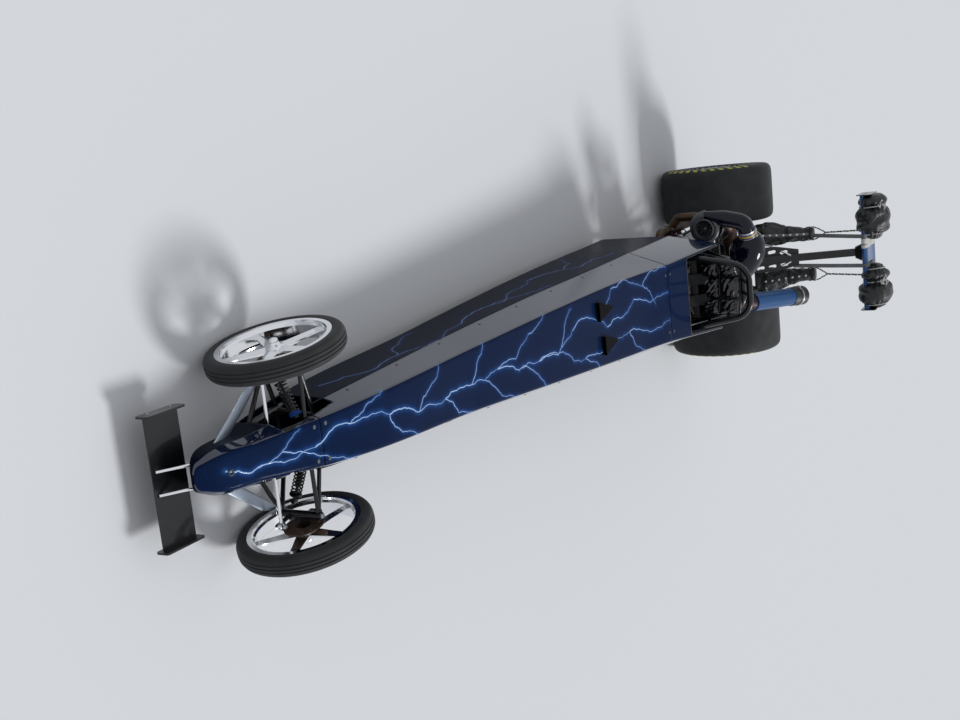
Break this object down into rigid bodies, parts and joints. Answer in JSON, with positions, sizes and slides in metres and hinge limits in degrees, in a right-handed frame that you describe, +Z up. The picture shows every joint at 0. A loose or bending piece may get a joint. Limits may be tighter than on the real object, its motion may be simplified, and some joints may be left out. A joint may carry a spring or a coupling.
{
  "type": "rear-engined drag racing car",
  "caption": "Long narrow drag racing car with an open cockpit, an engine behind the driver, wide rear slicks, thin steered front wheels, a rear wing and brake parachutes.",
  "frame": {"origin": "centre of the car's length and width, on the floor", "axes": "+Y towards the rear of the car, +X towards its left side, +Z up"},
  "size_m": [1.472, 6.5985, 1.7313],
  "materials": {
    "body_paint": "gloss",
    "wing_paint": "gloss",
    "frame_black": "gloss",
    "black_panel": "gloss",
    "seat_liner": "satin",
    "polished": "polished",
    "machined": "satin",
    "cast_alloy": "cast",
    "engine_iron": "painted",
    "heat_steel": "heat tinted",
    "blue_anodised": "anodised",
    "pipe_blue": "gloss",
    "rusty_disc": "rusty",
    "tyre_black": "matte",
    "chute_fabric": "matte",
    "hose_purple": "satin"
  },
  "bodies": {
    "chassis": {"front_frame": "frame_black", "cockpit_frame": "frame_black", "rear_frame": "frame_black", "roll_cage": "frame_black", "nose_cone": "body_paint", "front_deck": "body_paint", "deck_scoops": "black_panel", "belly_pan": "body_paint", "cockpit_cowl": "body_paint", "seat": "seat_liner", "head_surround": "black_panel", "firewall": "black_panel", "motor_plates": "machined", "engine_block": "engine_iron", "valve_covers": "machined", "intake_plenum": "cast_alloy", "turbocharger": "cast_alloy", "turbine_housing": "engine_iron", "charge_pipe": "blue_anodised", "charge_coupler": "hose_purple", "charge_hat": "blue_anodised", "headers": "heat_steel", "exhaust_crossover": "heat_steel", "outlet_pipe": "pipe_blue", "outlet_cap": "black_panel", "transmission": "cast_alloy", "rear_axle_housing": "frame_black", "rack_housing": "machined", "front_wing": "black_panel", "front_wing_struts": "polished", "rear_wing": "wing_paint", "wing_post": "frame_black", "wing_bracket": "black_panel", "wing_braces": "polished", "front_arms_left": "frame_black", "front_arms_right": "frame_black", "coilover_left": "frame_black", "coilover_right": "frame_black", "chute_pack_left": "chute_fabric", "chute_pack_right": "chute_fabric", "chute_bundle_left": "chute_fabric", "chute_bundle_right": "chute_fabric"},
    "knuckle_left": {"knuckle_left": "frame_black"},
    "knuckle_right": {"knuckle_right": "frame_black"},
    "front_wheel_left": {"front_rim_left": "polished", "front_disc_left": "rusty_disc", "front_tyre_left": "tyre_black"},
    "front_wheel_right": {"front_rim_right": "polished", "front_disc_right": "rusty_disc", "front_tyre_right": "tyre_black"},
    "steering_rack": {"steering_rack": "polished"},
    "steering_wheel": {"steering_wheel": "frame_black"},
    "rear_axle": {"rear_axle_shaft": "machined", "rear_rim_left": "polished", "rear_rim_right": "polished", "rear_tyre_left": "tyre_black", "rear_tyre_right": "tyre_black"}
  },
  "joints": [
    {"name": "steer_left", "type": "hinge", "parent": "chassis", "child": "knuckle_left", "pos_m": [0.302, -2.68, 0.286], "axis": [0, 0, 1], "range_deg": [-26.5, 3.5]},
    {"name": "steer_right", "type": "hinge", "parent": "chassis", "child": "knuckle_right", "pos_m": [-0.302, -2.68, 0.286], "axis": [0, 0, 1], "range_deg": [-26.6, 3.6]},
    {"name": "roll_front_left", "type": "hinge", "parent": "knuckle_left", "child": "front_wheel_left", "pos_m": [0.38431, -2.66325, 0.286], "axis": [0.9799, 0.1994, 0], "continuous": true},
    {"name": "roll_front_right", "type": "hinge", "parent": "knuckle_right", "child": "front_wheel_right", "pos_m": [-0.38431, -2.69675, 0.286], "axis": [0.9799, 0.1994, 0], "continuous": true},
    {"name": "rack_slide", "type": "slide", "parent": "chassis", "child": "steering_rack", "axis": [1, 0, 0], "range_m": [-0.0465, 0.0065]},
    {"name": "steering_wheel_turn", "type": "hinge", "parent": "chassis", "child": "steering_wheel", "pos_m": [0, 0.75, 0.65], "axis": [0, 0.9796, 0.2008], "range_deg": [-107, 15]},
    {"name": "roll_rear", "type": "hinge", "parent": "chassis", "child": "rear_axle", "pos_m": [0, 2.87, 0.43], "axis": [1, 0, 0], "continuous": true}
  ],
  "couplings": [
    {"joint": "steer_right", "follows": "steer_left", "ratio": 1},
    {"joint": "rack_slide", "follows": "steer_left", "m_per_rad": 0.099},
    {"joint": "steering_wheel_turn", "follows": "steer_left", "ratio": 4}
  ]
}
